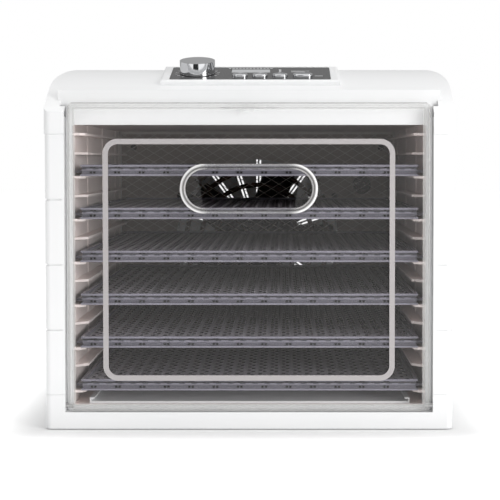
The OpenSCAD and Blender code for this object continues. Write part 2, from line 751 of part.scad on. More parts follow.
module encoder_body() {
    color("silver") on_panel() translate([knob_u, 0, board_w]) difference() {
        union() {
            translate([-6.5, -6.5, 0.05]) cube([13, 13, 7]);
            cylinder(h = 13.5, r = 4);
        }
        translate([0, 0, 2]) cylinder(h = 20, r = shaft_r + running);
    }
}

// Shaft that the knob turns
module encoder_shaft() {
    color("silver") on_panel() translate([knob_u, 0, board_w + 2.5]) cylinder(h = -board_w + knob_seat + knob_h - 6, r = shaft_r);
}

// Chromed knob with a hollow underside
module knob() {
    color("silver") on_panel() translate([knob_u, 0, knob_seat]) difference() {
        union() {
            difference() {
                cylinder(h = knob_h, r = knob_d / 2, $fn = 96);
                translate([0, 0, -overrun]) cylinder(h = knob_h - 2 + overrun, r = knob_d / 2 - 2, $fn = 96);
            }
            cylinder(h = knob_h - 1, r = 6);
        }
        translate([0, 0, -overrun]) cylinder(h = knob_h - 3.4 + overrun, r = shaft_r + 0.02);
    }
}

// A push button: cap, and a stem with a collar that stays under the cover
module button(k) {
    b = buttons[k];
    color("silver") on_panel() {
        translate([0, 0, -fascia_t - wall - 0.4]) linear_extrude(fascia_t + wall + 2.6) button_outline(b, 0);
        translate([0, 0, -fascia_t - wall - 1.7]) linear_extrude(1.4) button_outline(b, 1.2);
        translate([b[0], b[1], board_w + 5.1 + button_travel]) cylinder(h = -board_w - 9 - button_travel, r = 2, $fn = 32);
    }
}

// Power board on the liner's ceiling
module power_board() {
    z = open_z + 1.5 + gap + liner_t;
    color("darkgreen") block([-60, y_shell - 90, z + 5], [20, y_shell - 30, z + 6.6]);
    color("black") {
        block([-52, y_shell - 82, z + 6.5], [-24, y_shell - 56, z + 24]);
        translate([0, y_shell - 60, z + 6.5]) cylinder(h = 16, r = 6);
    }
    color("silver") for (x = [-55, 15], y = [y_shell - 85, y_shell - 35]) translate([x, y, z + 0.1]) cylinder(h = 5, r = 2.5, $fn = 32);
}

// ---- Fasteners ----

module rear_screws() {
    color("silver") for (p = rear_screws_at()) translate([p[0], y_shell + wall + 0.05, p[1]]) rotate([-90, 0, 0]) screw(9);
}

function base_screws_at() = [for (x = [-60, 60], y = [y_front + 60, y_shell - 60]) [x, y]];
module base_screws() {
    color("silver") for (p = base_screws_at()) translate([p[0], p[1], foot_h + 1.35]) mirror([0, 0, 1]) screw(8);
}

module baffle_screws() {
    color("silver") for (p = baffle_screws_at()) translate([p[0], y_baffle - 0.05, p[1]]) rotate([90, 0, 0]) screw(6);
}

module bracket_screws() {
    color("silver") for (a = arms()) translate([post_r * cos(a), y_baffle - 0.05, fan_z + post_r * sin(a)])
        rotate([90, 0, 0]) screw(10);
}

base_pan();
side_panel(-1);  // side_panel_left
side_panel(1);  // side_panel_right
top_cover();
rear_cover();
front_frame();
liner_side(-1);  // liner_left
liner_side(1);  // liner_right
liner_ceiling();
liner_floor();
rear_grille();
fan_baffle();
fan_shroud();
motor_housing();
motor_bracket();
heater_frame();
heater_coils();
thermal_cutout();
fascia();
display_window();
display_module();
control_board();
key_switches();
encoder_body();
power_board();
foot(0);  // foot_front_left
foot(1);  // foot_front_right
foot(2);  // foot_rear_left
foot(3);  // foot_rear_right
rear_screws();
base_screws();
baffle_screws();
bracket_screws();
board_screws();
cord_gland();
door_catch();
hinge_pin(-1);  // hinge_pin_left
hinge_pin(1);  // hinge_pin_right
door_panel();
grip_ring();
tray(1);  // tray_1
tray(2);  // tray_2
tray(3);  // tray_3
tray(4);  // tray_4
tray(5);  // tray_5
tray(6);  // tray_6
drip_tray();
knob();
encoder_shaft();
button(0);  // button_up
button(1);  // button_down
button(2);  // button_mode
button(3);  // button_power
fan_rotor();
motor_shaft();
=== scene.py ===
import json

import bpy
import numpy as np
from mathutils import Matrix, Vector


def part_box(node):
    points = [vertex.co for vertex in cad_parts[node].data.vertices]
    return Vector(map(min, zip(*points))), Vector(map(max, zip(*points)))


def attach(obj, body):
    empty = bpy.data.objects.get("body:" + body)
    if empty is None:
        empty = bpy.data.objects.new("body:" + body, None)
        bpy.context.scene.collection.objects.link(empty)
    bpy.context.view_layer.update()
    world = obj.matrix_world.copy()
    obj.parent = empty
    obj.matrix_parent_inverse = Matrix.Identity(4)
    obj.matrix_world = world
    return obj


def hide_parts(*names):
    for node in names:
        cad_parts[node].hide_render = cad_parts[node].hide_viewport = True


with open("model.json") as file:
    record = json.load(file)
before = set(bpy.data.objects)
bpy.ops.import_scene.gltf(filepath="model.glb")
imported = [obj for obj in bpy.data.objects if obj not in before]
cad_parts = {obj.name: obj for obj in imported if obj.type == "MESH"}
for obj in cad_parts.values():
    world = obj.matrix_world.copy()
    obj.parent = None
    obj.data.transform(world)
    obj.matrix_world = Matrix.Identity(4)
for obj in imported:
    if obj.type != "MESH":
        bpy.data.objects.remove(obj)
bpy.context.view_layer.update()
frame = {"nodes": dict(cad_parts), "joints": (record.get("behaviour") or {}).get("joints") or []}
MM = 0.001

# ---- Studio ----
# A pale sweep of paper under the machine, one wide softbox overhead, one low to the right in front,
# and a white room.

scene = bpy.context.scene
scene.view_settings.view_transform = "Standard"
# A slightly raised gamma lightens the shade between the trays, and leaves the whites white
scene.view_settings.gamma = 1.12


def linear(code):
    """An sRGB hex colour as linear red, green, blue and alpha."""
    rgb = np.array([int(code[i : i + 2], 16) for i in (0, 2, 4)]) / 255
    return (*np.where(rgb <= 0.04045, rgb / 12.92, ((rgb + 0.055) / 1.055) ** 2.4).tolist(), 1.0)


def put(tree, kind, inputs=None, **settings):
    """Adds a node with its settings; an input is a value, or another node's output to link from."""
    node = tree.nodes.new("ShaderNode" + kind)
    for name, value in settings.items():
        setattr(node, name, value)
    for name, value in (inputs or {}).items():
        if isinstance(value, bpy.types.NodeSocket):
            tree.links.new(value, node.inputs[name])
        else:
            node.inputs[name].default_value = value
    return node


def math_node(tree, operation, a, b=0.0):
    """The output of one sum on two values or outputs."""
    return put(tree, "Math", {0: a, 1: b}, operation=operation).outputs[0]


def start_material(name):
    """A new material, its node tree, its shader and the object's own coordinates."""
    material = bpy.data.materials.new(name)
    material.use_nodes = True
    tree = material.node_tree
    place = put(tree, "TexCoord").outputs["Object"]
    return material, tree, tree.nodes["Principled BSDF"], place


def set_inputs(tree, shader, inputs):
    """Sets or links a shader's sockets."""
    for name, value in inputs.items():
        if isinstance(value, bpy.types.NodeSocket):
            tree.links.new(value, shader.inputs[name])
        else:
            shader.inputs[name].default_value = value


def mesh_object(name, vertices, faces):
    """A mesh object from an array of places in metres and an array or list of faces."""
    mesh = bpy.data.meshes.new(name)
    mesh.from_pydata(np.asarray(vertices, float).tolist(), [], [list(map(int, f)) for f in faces])
    mesh.update()
    piece = bpy.data.objects.new(name, mesh)
    scene.collection.objects.link(piece)
    return piece


def dress(piece, material, smooth_below=None):
    """Gives every face one material, and rounds the shading over edges flatter than an angle in degrees."""
    piece.data.materials.clear()
    piece.data.materials.append(material)
    if smooth_below is not None:
        piece.data.set_sharp_from_angle(angle=np.radians(smooth_below))
        piece.data.polygons.foreach_set("use_smooth", np.ones(len(piece.data.polygons), bool))


# The sweep is matt paper; the soft shadow where the machine stands is partly real and partly painted, since the paper's
# painted glow fades out round the footprint
paper, tree, shader, place = start_material("matt paper sweep")
fibre = put(tree, "TexNoise", {"Vector": place, "Scale": 60.0, "Detail": 2.0})
tone = put(tree, "MixRGB", {"Fac": fibre.outputs["Fac"], "Color1": linear("FBFBFB"), "Color2": linear("FFFFFF")})
# Painted glow: away from the machine the paper glows, so that it runs into the white room; within 70 mm of the
# footprint the glow fades out, a painted shade that deepens the real shadow there
parts = put(tree, "SeparateXYZ", {"Vector": place})
footprint_x, footprint_y, painted_shade_width = 172 * MM, 222 * MM, 70 * MM
past_x = math_node(tree, "SUBTRACT", math_node(tree, "ABSOLUTE", parts.outputs["X"]), footprint_x)
past_y = math_node(tree, "SUBTRACT", math_node(tree, "ABSOLUTE", parts.outputs["Y"]), footprint_y)
past = put(tree, "CombineXYZ", {"X": math_node(tree, "MAXIMUM", past_x), "Y": math_node(tree, "MAXIMUM", past_y)})
distance = put(tree, "VectorMath", {0: past.outputs["Vector"]}, operation="LENGTH")
painted_glow = put(tree, "MapRange", {"Value": distance.outputs["Value"], "From Min": 0.0, "From Max": painted_shade_width,
    "To Min": 0.0, "To Max": 0.62}, interpolation_type="SMOOTHSTEP")
set_inputs(tree, shader, {"Base Color": tone.outputs["Color"], "Roughness": 0.9, "Specular IOR Level": 0.2,
    "Emission Color": linear("FFFFFF"), "Emission Strength": painted_glow.outputs["Result"]})
sweep = mesh_object("paper_sweep", [(-8, -8, 0), (8, -8, 0), (8, 8, 0), (-8, 8, 0)], [(0, 1, 2, 3)])
dress(sweep, paper)

# A black card on the floor, out of the picture, gives the chrome its dark streak
card_black, tree, shader, place = start_material("black card")
fibre = put(tree, "TexNoise", {"Vector": place, "Scale": 90.0})
tone = put(tree, "MixRGB", {"Fac": fibre.outputs["Fac"], "Color1": linear("0A0A0A"), "Color2": linear("121212")})
set_inputs(tree, shader, {"Base Color": tone.outputs["Color"], "Roughness": 0.9})
left, right, near, far, height = -0.33, 0.07, -1.25, -0.5, 4 * MM
card = mesh_object("black_card",
    [(left, near, height), (right, near, height), (right, far, height), (left, far, height)], [(0, 1, 2, 3)])
dress(card, card_black)
# The camera doesn't see it: from another side it would lie in the picture
card.visible_camera = False

world = bpy.data.worlds.new("white room")
scene.world = world
world.use_nodes = True
world.node_tree.nodes["Background"].inputs["Color"].default_value = linear("FFFFFF")
# The wall behind shows pure white, and lights the machine less than it shows
seen = put(world.node_tree, "LightPath").outputs["Is Camera Ray"]
strength = put(world.node_tree, "MapRange", {"Value": seen, "To Min": 0.4, "To Max": 1.0})
world.node_tree.links.new(strength.outputs["Result"], world.node_tree.nodes["Background"].inputs["Strength"])


def softbox(name, at, towards, width, depth, power):
    """An area light that faces a point."""
    lamp = bpy.data.lights.new(name, "AREA")
    lamp.shape = "RECTANGLE"
    lamp.size = width
    lamp.size_y = depth
    lamp.energy = power
    rig = bpy.data.objects.new(name, lamp)
    rig.location = at
    rig.rotation_euler = (Vector(towards) - Vector(at)).to_track_quat("-Z", "Y").to_euler()
    scene.collection.objects.link(rig)
    return rig


softbox("softbox_top", (0.0, -0.25, 1.7), (0.0, 0.0, 0.2), 1.3, 1.0, 11.0)
softbox("softbox_right", (1.9, -1.95, 0.6), (-0.1, -0.1, 0.15), 1.1, 1.1, 33.0)

# The camera stands a little right of the middle, some 90 mm below the machine's top, and looks slightly
# down; a shifted lens does the rest of the framing
camera = bpy.data.objects.new("camera", bpy.data.cameras.new("camera"))
camera.data.sensor_width = 36.0
camera.data.lens = 95.4
camera.location = (0.0288, -1.332, 0.2275)
camera.rotation_euler = np.radians((90.0 - 1.9, 0.0, 0.0))
camera.data.shift_x = -0.0665
camera.data.shift_y = -0.092
scene.collection.objects.link(camera)
scene.camera = camera

# ---- Housing ----
# Injection-moulded ABS, white all through: base, two sides, top cover, rear cover and the frame
# round the mouth, screwed together from the back and from below.

# Cold white with a soft satin sheen
abs_white, tree, shader, place = start_material("white moulded ABS")
# Mould texture of about half a millimetre, with slow waves where the wall cooled unevenly
grain = put(tree, "TexNoise", {"Vector": place, "Scale": 900.0, "Detail": 2.0, "Roughness": 0.5})
wave = put(tree, "TexNoise", {"Vector": place, "Scale": 9.0, "Detail": 2.0})
tone = put(tree, "MixRGB", {"Fac": wave.outputs["Fac"], "Color1": linear("EEEFF0"), "Color2": linear("F4F4F4")})
gloss = put(tree, "MapRange", {"Value": grain.outputs["Fac"], "To Min": 0.3, "To Max": 0.42})
relief = put(tree, "Bump", {"Height": grain.outputs["Fac"], "Strength": 0.06, "Distance": 0.0002})
set_inputs(tree, shader, {"Base Color": tone.outputs["Color"], "Roughness": gloss.outputs["Result"],
    "Normal": relief.outputs["Normal"], "IOR": 1.53})
for name in ("base_pan", "side_panel_left", "side_panel_right", "top_cover", "rear_cover", "front_frame", "door_catch"):
    dress(frame["nodes"][name], abs_white)

# ---- Lining ----
# Thin heat-resistant sheet mouldings, off-white and matt, with two shelf ribs for each tray.

# Warmer and duller than the housing, faintly mottled
lining, tree, shader, place = start_material("off-white moulded polypropylene")
mottle = put(tree, "TexNoise", {"Vector": place, "Scale": 35.0, "Detail": 4.0})
tone = put(tree, "MixRGB", {"Fac": mottle.outputs["Fac"], "Color1": linear("F2E4E0"), "Color2": linear("F8EEEA")})
grain = put(tree, "TexNoise", {"Vector": place, "Scale": 1200.0, "Detail": 1.0})
relief = put(tree, "Bump", {"Height": grain.outputs["Fac"], "Strength": 0.08, "Distance": 0.0002})
set_inputs(tree, shader, {"Base Color": tone.outputs["Color"], "Roughness": 0.5, "Normal": relief.outputs["Normal"]})
for name in ("liner_left", "liner_right", "liner_ceiling", "liner_floor"):
    dress(frame["nodes"][name], lining)

# ---- Drip pan ----
# A shallow pale pan, moulded smooth so that it wipes clean, lying loose on the chamber's floor,
# where it looks grey in the shade of the trays.

# Nearly white, with a wiped sheen
drip_grey, tree, shader, place = start_material("grey moulded polypropylene")
haze = put(tree, "TexNoise", {"Vector": place, "Scale": 14.0, "Detail": 3.0})
tone = put(tree, "MixRGB", {"Fac": haze.outputs["Fac"], "Color1": linear("F0F1F2"), "Color2": linear("F8F8F8")})
gloss = put(tree, "MapRange", {"Value": haze.outputs["Fac"], "To Min": 0.3, "To Max": 0.45})
set_inputs(tree, shader, {"Base Color": tone.outputs["Color"], "Roughness": gloss.outputs["Result"]})
dress(frame["nodes"]["drip_tray"], drip_grey)

# ---- Rear grille ----
# A plate of expanded strands across the back of the chamber: two sets of thin slanted strands
# cross and leave diamonds about 16 mm wide.


def bars(starts, ends, side, up):
    """One box for each row: it runs from start to end, and side and up are its half-widths as vectors."""
    starts, ends, side, up = (np.broadcast_to(np.asarray(a, float), np.shape(starts))
        for a in (starts, ends, side, up))
    corners = [end + s * side + u * up for end in (starts, ends) for s, u in ((-1, -1), (1, -1), (1, 1), (-1, 1))]
    vertices = np.stack(corners, 1).reshape(-1, 3)
    box = np.array([(3, 2, 1, 0), (4, 5, 6, 7), (0, 1, 5, 4), (1, 2, 6, 5), (2, 3, 7, 6), (3, 0, 4, 7)])
    # The faces turn round where the three directions form a left-handed set
    turn = np.einsum("ij,ij->i", np.cross(side, up), ends - starts) < 0
    faces = box[None] + 8 * np.arange(len(starts))[:, None, None]
    faces[turn] = faces[turn][:, :, ::-1]
    return vertices, faces.reshape(-1, 4)


def joined(*parts):
    """Several (vertices, faces) pairs as one."""
    vertices, faces, count = [], [], 0
    for v, f in parts:
        vertices.append(v)
        faces += [tuple(int(i) + count for i in face) for face in f]
        count += len(v)
    return np.vstack(vertices), faces


def strands(low, high, width, height, half, slope):
    """Parallel slanted strands z = slope * x + k * height, cut off at the plate's edges."""
    centre = (np.array(low) + np.array(high)) / 2
    rise = slope * height / width
    half_x, half_z = (high[0] - low[0]) / 2, (high[2] - low[2]) / 2
    reach = int((half_z + half_x * abs(rise)) / height)
    k = np.arange(-reach, reach + 1) * height
    ends = []
    for sign in (-1, 1):
        x = np.full(len(k), sign * half_x)
        z = np.clip(rise * x + k, -half_z, half_z)
        x = (z - k) / rise
        ends.append(np.stack([centre[0] + x, np.full(len(k), centre[1]), centre[2] + z], 1))
    keep = np.linalg.norm(ends[1] - ends[0], axis=1) > 4 * half
    across = np.array([-rise, 0, 1]) / np.hypot(rise, 1) * half
    return bars(ends[0][keep], ends[1][keep], across, (0, (high[1] - low[1]) / 2, 0))


# The strands are painted pale: a painted highlight for the light that the brown enamelled strands catch, pale threads
# against the dark behind them
strand_painted_highlight, tree, shader, place = start_material("brown enamelled steel")
speck = put(tree, "TexNoise", {"Vector": place, "Scale": 700.0, "Detail": 2.0})
tone = put(tree, "MixRGB", {"Fac": speck.outputs["Fac"], "Color1": linear("E0D8D0"), "Color2": linear("F2ECE6")})
set_inputs(tree, shader, {"Base Color": tone.outputs["Color"], "Roughness": 0.5})
low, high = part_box("rear_grille")
inner_low = (low[0] + 3 * MM, low[1], low[2] + 3 * MM)
inner_high = (high[0] - 3 * MM, high[1], high[2] - 3 * MM)
edge, half_plate = 1.5 * MM, 0.6 * MM
y = low[1] + half_plate
border = bars(
    [(low[0], y, low[2] + edge), (low[0], y, high[2] - edge), (low[0] + edge, y, low[2]), (high[0] - edge, y, low[2])],
    [(high[0], y, low[2] + edge), (high[0], y, high[2] - edge),
        (low[0] + edge, y, high[2]), (high[0] - edge, y, high[2])],
    [(0, half_plate, 0)] * 4,
    [(0, 0, edge), (0, 0, edge), (edge, 0, 0), (edge, 0, 0)])
diamond_w, diamond_h, half_strand = 16 * MM, 9.6 * MM, 0.27 * MM
grille = mesh_object("rear_grille_strands", *joined(border,
    strands(inner_low, inner_high, diamond_w, diamond_h, half_strand, 1),
    strands(inner_low, inner_high, diamond_w, diamond_h, half_strand, -1)))
dress(grille, strand_painted_highlight)
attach(grille, "housing")
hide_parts("rear_grille")

# ---- Fan chamber ----
# What the trays hide: a brown sheet partition, the black fan and its ring, the motor, the heater and
# the circuit boards, with their screws and the feet.

# Brownish black, dull, with the fine flecks of its glass
dark_plastic, tree, shader, place = start_material("black glass-filled nylon")
fleck = put(tree, "TexNoise", {"Vector": place, "Scale": 500.0, "Detail": 3.0})
tone = put(tree, "MixRGB", {"Fac": fleck.outputs["Fac"], "Color1": linear("2A2624"), "Color2": linear("3A3532")})
set_inputs(tree, shader, {"Base Color": tone.outputs["Color"], "Roughness": 0.5})
for name in ("fan_shroud", "fan_rotor", "cord_gland", "encoder_body", "key_switches", "display_module"):
    dress(frame["nodes"][name], dark_plastic)

# Even and slightly glossy; it looks dark only because so little light gets to it
back_plate, tree, shader, place = start_material("dark brown enamelled sheet")
speck = put(tree, "TexNoise", {"Vector": place, "Scale": 12.0, "Detail": 3.0})
tone = put(tree, "MixRGB", {"Fac": speck.outputs["Fac"], "Color1": linear("BFB2A9"), "Color2": linear("CDC0B8")})
set_inputs(tree, shader, {"Base Color": tone.outputs["Color"], "Roughness": 0.4})
dress(frame["nodes"]["fan_baffle"], back_plate)

# Silvery grey with cloudy patches of gloss
zinc, tree, shader, place = start_material("zinc-plated steel")
cloud = put(tree, "TexNoise", {"Vector": place, "Scale": 150.0, "Detail": 4.0})
gloss = put(tree, "MapRange", {"Value": cloud.outputs["Fac"], "To Min": 0.25, "To Max": 0.45})
tone = put(tree, "MixRGB", {"Fac": cloud.outputs["Fac"], "Color1": linear("A9A9AB"), "Color2": linear("C4C4C2")})
set_inputs(tree, shader, {"Base Color": tone.outputs["Color"], "Metallic": 1.0, "Roughness": gloss.outputs["Result"]})
for name in ("motor_housing", "rear_screws", "base_screws", "board_screws", "hinge_pin_left", "hinge_pin_right",
        "encoder_shaft", "motor_shaft"):
    dress(frame["nodes"][name], zinc)

# Near black with a dull metal gleam
blackened, tree, shader, place = start_material("blackened steel")
cloud = put(tree, "TexNoise", {"Vector": place, "Scale": 120.0, "Detail": 3.0})
tone = put(tree, "MixRGB", {"Fac": cloud.outputs["Fac"], "Color1": linear("3B3735"), "Color2": linear("4C4744")})
set_inputs(tree, shader, {"Base Color": tone.outputs["Color"], "Metallic": 0.6, "Roughness": 0.5})
for name in ("motor_bracket", "thermal_cutout", "baffle_screws", "bracket_screws"):
    dress(frame["nodes"][name], blackened)

# Tan flakes pressed together
mica, tree, shader, place = start_material("pressed mica sheet")
flake = put(tree, "TexVoronoi", {"Vector": place, "Scale": 400.0})
tone = put(tree, "MixRGB", {"Fac": flake.outputs["Distance"], "Color1": linear("6B5D47"), "Color2": linear("554A39")})
set_inputs(tree, shader, {"Base Color": tone.outputs["Color"], "Roughness": 0.4})
dress(frame["nodes"]["heater_frame"], mica)

# Brown-grey where the heat has dulled it
wire, tree, shader, place = start_material("oxidised heating wire")
oxide = put(tree, "TexNoise", {"Vector": place, "Scale": 300.0, "Detail": 2.0})
tone = put(tree, "MixRGB", {"Fac": oxide.outputs["Fac"], "Color1": linear("5A4A46"), "Color2": linear("857068")})
set_inputs(tree, shader, {"Base Color": tone.outputs["Color"], "Metallic": 0.8, "Roughness": 0.5})
dress(frame["nodes"]["heater_coils"], wire)

# Glossy green, crossed by paler tracks
solder_mask, tree, shader, place = start_material("green coated circuit board")
trace = put(tree, "TexBrick", {"Vector": place, "Scale": 160.0, "Color1": linear("1E5631"),
    "Color2": linear("1A4A2A"), "Mortar": linear("2F7A4A")})
set_inputs(tree, shader, {"Base Color": trace.outputs["Color"], "Roughness": 0.3})
for name in ("control_board", "power_board"):
    dress(frame["nodes"][name], solder_mask)

# Black and quite matt, greyed by dust
rubber, tree, shader, place = start_material("black moulded rubber")
dust = put(tree, "TexNoise", {"Vector": place, "Scale": 250.0, "Detail": 3.0})
tone = put(tree, "MixRGB", {"Fac": dust.outputs["Fac"], "Color1": linear("1C1C1C"), "Color2": linear("2C2C2B")})
set_inputs(tree, shader, {"Base Color": tone.outputs["Color"], "Roughness": 0.8})
for name in ("foot_front_left", "foot_front_right", "foot_rear_left", "foot_rear_right"):
    dress(frame["nodes"][name], rubber)

# ---- Trays ----
# Six shallow trays of smoke-grey polycarbonate, moulded in one. Pairs of short slots run from
# front to back, small chevrons stiffen the lands between them, and a flanged rim goes all round.


def smoke_tone(name, dark, light, alpha, rough):
    """Smoke-grey polycarbonate in a given tone; the copies differ in painted light and shade, not in the plastic."""
    material, tree, shader, place = start_material(name)
    cloud = put(tree, "TexNoise", {"Vector": place, "Scale": 25.0, "Detail": 3.0})
    tone = put(tree, "MixRGB", {"Fac": cloud.outputs["Fac"], "Color1": linear(dark), "Color2": linear(light)})
    set_inputs(tree, shader, {"Base Color": tone.outputs["Color"], "Roughness": rough, "Specular IOR Level": 0.25,
        "Alpha": alpha})
    return material


# Lit and shaded copies of one smoke grey, in the order that tray_parts numbers them: the floor painted lightest, the
# slot walls nearly black as painted shade in the slots, the flanges darker than the floor, and the web between them
# darker still as painted shade where it is set back
smoke_tones = [
    smoke_tone("smoke-grey polycarbonate", "9C989E", "ACA8AE", 1.0, 0.5),
    smoke_tone("smoke-grey polycarbonate, slot walls", "0C0B0D", "141315", 1.0, 0.6),
    smoke_tone("smoke-grey polycarbonate, thin flange", "7F7C88", "918E9A", 0.85, 0.25),
    smoke_tone("smoke-grey polycarbonate, rim web", "55535C", "64626C", 0.95, 0.3),
]


def pierced_plate(xs, ys, solid, z0, z1):
    """A flat plate over a grid of lines. Cells marked solid get a top and a bottom.

    Walls stand where a solid cell meets an open one."""
    nx, ny = len(xs), len(ys)
    gx, gy = np.meshgrid(xs, ys, indexing="ij")
    bottom = np.stack([gx, gy, np.full_like(gx, z0)], -1).reshape(-1, 3)
    top = np.stack([gx, gy, np.full_like(gx, z1)], -1).reshape(-1, 3)
    at = np.arange(nx * ny).reshape(nx, ny)
    i, j = np.nonzero(solid)
    a, b, c, d = at[i, j], at[i + 1, j], at[i + 1, j + 1], at[i, j + 1]
    up = nx * ny
    faces = [np.stack([a, d, c, b], 1), np.stack([a, b, c, d], 1) + up]
    padded = np.pad(solid, 1)
    inside = padded[1:-1, 1:-1]
    for open_side, p, q in (
            (inside & ~padded[:-2, 1:-1], (0, 1), (0, 0)), (inside & ~padded[2:, 1:-1], (1, 0), (1, 1)),
            (inside & ~padded[1:-1, :-2], (0, 0), (1, 0)), (inside & ~padded[1:-1, 2:], (1, 1), (0, 1))):
        i, j = np.nonzero(open_side)
        p, q = at[i + p[0], j + p[1]], at[i + q[0], j + q[1]]
        faces.append(np.stack([p, q, q + up, p + up], 1))
    return np.vstack([bottom, top]), np.vstack(faces)


def blocks(lows, highs):
    """One box for each pair of corners."""
    lows, highs = np.asarray(lows, float), np.asarray(highs, float)
    middle = (lows + highs) / 2
    size = (highs - lows) / 2
    zero = np.zeros(len(lows))
    return bars(
        np.stack([middle[:, 0], middle[:, 1], lows[:, 2]], 1), np.stack([middle[:, 0], middle[:, 1], highs[:, 2]], 1),
        np.stack([size[:, 0], zero, zero], 1), np.stack([zero, size[:, 1], zero], 1))


def tray_parts(low, high):
    """A tray's floor, chevrons, rim and wings, between the corners of its own box."""
    wing = 5 * MM
    x0, x1 = low[0] + wing, high[0] - wing
    y0, y1 = low[1], high[1]
    z0, z1 = low[2], high[2]
    floor_z, floor_t = z0 + 5.5 * MM, 1.6 * MM
    pairs, rows = 27, 17
    pitch_x = (x1 - x0 - 8 * MM) / pairs
    pitch_y = (y1 - y0 - 10 * MM) / rows
    slot, land = 3.1 * MM, 0.9 * MM
    left = x0 + 4 * MM + np.arange(pairs) * pitch_x + (pitch_x - 2 * slot - land) / 2
    xs = np.sort(np.concatenate([
        [x0 + 1 * MM], left, left + slot, left + slot + land, left + 2 * slot + land, [x1 - 1 * MM]]))
    # The second slot of each pair starts half a row further back than the first
    first = y0 + 5 * MM + np.arange(rows) * pitch_y
    second = first + pitch_y / 2
    long = 8.2 * MM
    ys = np.sort(np.concatenate([[y0 + 1 * MM], first, first + long, second, second + long, [y1 - 1 * MM]]))
    solid = np.ones((len(xs) - 1, len(ys) - 1), bool)
    solid[1::4, 1::4] = False
    solid[3::4, 3::4] = False
    floor = pierced_plate(xs, ys, solid, floor_z + floor_t - 0.8 * MM, floor_z + floor_t)
    flat = 2 * int(solid.sum())
    # Chevrons on the lands between the pairs
    land_x = x0 + 4 * MM + np.arange(1, pairs) * pitch_x
    chevron_pitch = 8.4 * MM
    chevron_y = y0 + 8 * MM + np.arange(int((y1 - y0 - 16 * MM) / chevron_pitch)) * chevron_pitch
    cx, cy = (a.ravel() for a in np.meshgrid(land_x, chevron_y))
    top = floor_z + floor_t
    tip = np.stack([cx, cy + 1.6 * MM, np.full_like(cx, top)], 1)
    arms = []
    for sign in (-1, 1):
        foot = np.stack([cx + sign * 2.1 * MM, cy - 1.2 * MM, np.full_like(cx, top)], 1)
        arms.append(bars(foot, tip, (0, 0.45 * MM, 0), (0, 0, 0.18 * MM)))
    # Rim: an upper and a lower flange with a thin web set back between them
    flange, deep, back = 1.5 * MM, 3.0 * MM, 1.2 * MM
    rim_low, rim_high, rim_tone = [], [], []
    for zl, zh, inset, t, tone in ((z1 - flange, z1, 0, deep, 2), (z0, z0 + flange, 0, deep, 2),
            (z0 + flange, z1 - flange, back, deep - back, 3)):
        xa, xb, ya, yb = x0 + inset, x1 - inset, y0 + inset, y1 - inset
        rim_low += [(xa, ya, zl), (xa, yb - t, zl), (xa, ya + t, zl), (xb - t, ya + t, zl)]
        rim_high += [(xb, ya + t, zh), (xb, yb, zh), (xa + t, yb - t, zh), (xb, yb - t, zh)]
        rim_tone += [tone] * 4
    # Along the front: a bar at mid height, short lighter dashes above it, and pairs of dark pips above and below, in
    # the same near black as the slot walls
    rim_low.append((x0 + back, y0 + 0.6 * MM, z0 + 4.6 * MM))
    rim_high.append((x1 - back, y0 + back + 0.1 * MM, z0 + 5.3 * MM))
    rim_tone.append(2)
    dashes = np.arange(x0 + 5 * MM, x1 - 9 * MM, 10.4 * MM)
    rim_low += [(x, y0 + 0.3 * MM, z0 + 5.3 * MM) for x in dashes]
    rim_high += [(x + 5.6 * MM, y0 + back + 0.1 * MM, z0 + 6.3 * MM) for x in dashes]
    rim_tone += [2] * len(dashes)
    pads = np.arange(x0 + 8 * MM, x1 - 10 * MM, 20.8 * MM)
    for shift, zl, zh in ((0.0, 2.1, 3.9), (3.0, 2.1, 3.9), (0.4, 6.9, 7.7), (3.2, 6.9, 7.7)):
        rim_low += [(x + shift * MM, y0 + 0.3 * MM, z0 + zl * MM) for x in pads]
        rim_high += [(x + (shift + 1.9) * MM, y0 + back + 0.1 * MM, z0 + zh * MM) for x in pads]
        rim_tone += [1] * len(pads)
    # Wings that ride on the shelf ribs
    for side in (-1, 1):
        edge_x = low[0] if side < 0 else x1 - 0.5 * MM
        rim_low.append((edge_x, y0 + 8 * MM, z0 + 2.75 * MM))
        rim_high.append((edge_x + wing + 0.5 * MM, y1 - 4 * MM, z0 + 4.75 * MM))
        rim_tone.append(3)
    tones = np.concatenate([
        np.zeros(flat), np.ones(len(floor[1]) - flat), np.zeros(sum(len(a[1]) for a in arms)),
        np.repeat(rim_tone, 6)]).astype(np.int32)
    vertices, faces = joined(floor, *arms, blocks(rim_low, rim_high))
    return vertices, faces, tones


for i in range(1, 7):
    low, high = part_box(f"tray_{i}")
    vertices, faces, tones = tray_parts(low, high)
    tray = mesh_object(f"tray_{i}_moulding", vertices, faces)
    for material in smoke_tones:
        tray.data.materials.append(material)
    tray.data.polygons.foreach_set("material_index", tones)
    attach(tray, f"tray_{i}_body")
    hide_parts(f"tray_{i}")

# ---- Door ----
# One clear moulding: a thin pane with a rim behind it, and a rounded bead round the finger hole.
# A border about 4.5 mm wide is frosted into its face.

# Almost unseen face on: only its reflections and a trace of haze show
clear, tree, shader, place = start_material("clear polycarbonate")
haze = put(tree, "TexNoise", {"Vector": place, "Scale": 6.0, "Detail": 2.0})
gloss = put(tree, "MapRange", {"Value": haze.outputs["Fac"], "To Min": 0.03, "To Max": 0.07})
set_inputs(tree, shader, {"Base Color": linear("D8D6D4"), "Roughness": gloss.outputs["Result"], "IOR": 1.58,
    "Alpha": 0.02})


